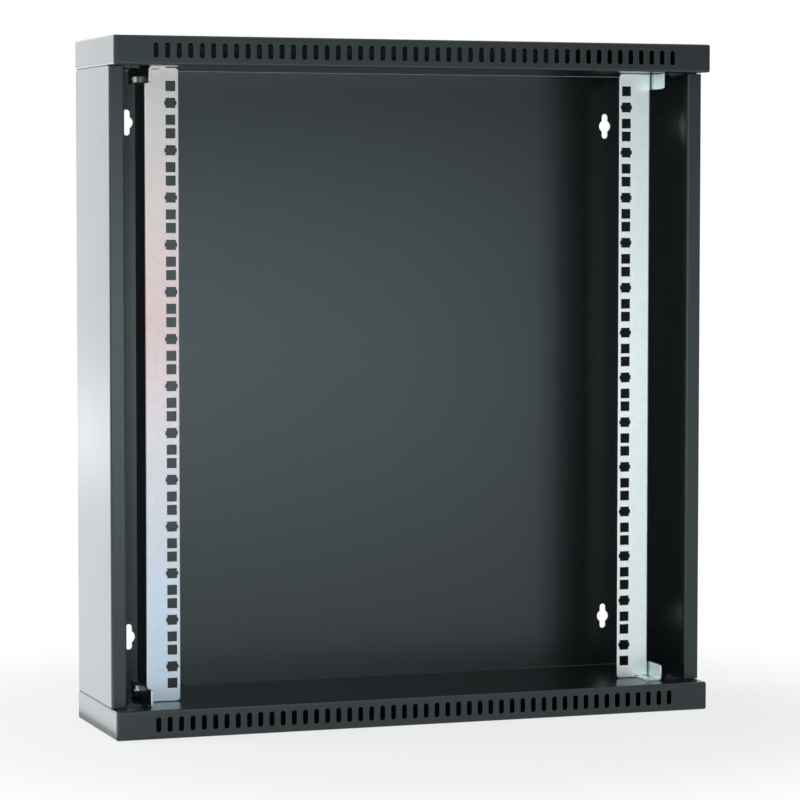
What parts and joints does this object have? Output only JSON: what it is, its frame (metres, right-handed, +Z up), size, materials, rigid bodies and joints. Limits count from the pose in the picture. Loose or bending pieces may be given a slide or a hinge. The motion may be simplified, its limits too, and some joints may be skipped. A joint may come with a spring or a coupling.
{
  "type": "wall mount network cabinet",
  "caption": "Shallow open-front wall cabinet for 19-inch equipment, with square-holed rack rails on brackets, vented hollow covers and a keyholed back panel.",
  "frame": {"origin": "middle of the underside of the bottom cover", "axes": "+Z up, +Y towards the wall, -Y out of the open front, +X to the right as seen from the front"},
  "size_m": [0.6, 0.15, 0.6546],
  "materials": {
    "powder_coat": "fine semi-gloss graphite powder coat on folded steel sheet",
    "zinc_plate": "bright zinc plate with a faint blue and pink passivate on rolled sheet",
    "zinc_fastener": "bright zinc plate on turned and forged fasteners",
    "black_fastener": "black coated fasteners"
  },
  "bodies": {
    "root": {"top_cover": "powder_coat", "bottom_cover": "powder_coat", "left_side_panel": "powder_coat", "right_side_panel": "powder_coat", "back_panel": "powder_coat", "left_rail": "zinc_plate", "right_rail": "zinc_plate", "top_left_rail_bracket": "zinc_plate", "top_right_rail_bracket": "zinc_plate", "bottom_left_rail_bracket": "zinc_plate", "bottom_right_rail_bracket": "zinc_plate", "left_rail_bolts": "zinc_fastener", "left_rail_nuts": "zinc_fastener", "left_bracket_rivets": "zinc_fastener", "left_panel_screws": "black_fastener", "left_panel_weld_nuts": "zinc_fastener", "left_back_rivets": "black_fastener", "right_rail_bolts": "zinc_fastener", "right_rail_nuts": "zinc_fastener", "right_bracket_rivets": "zinc_fastener", "right_panel_screws": "black_fastener", "right_panel_weld_nuts": "zinc_fastener", "right_back_rivets": "black_fastener"}
  },
  "joints": []
}
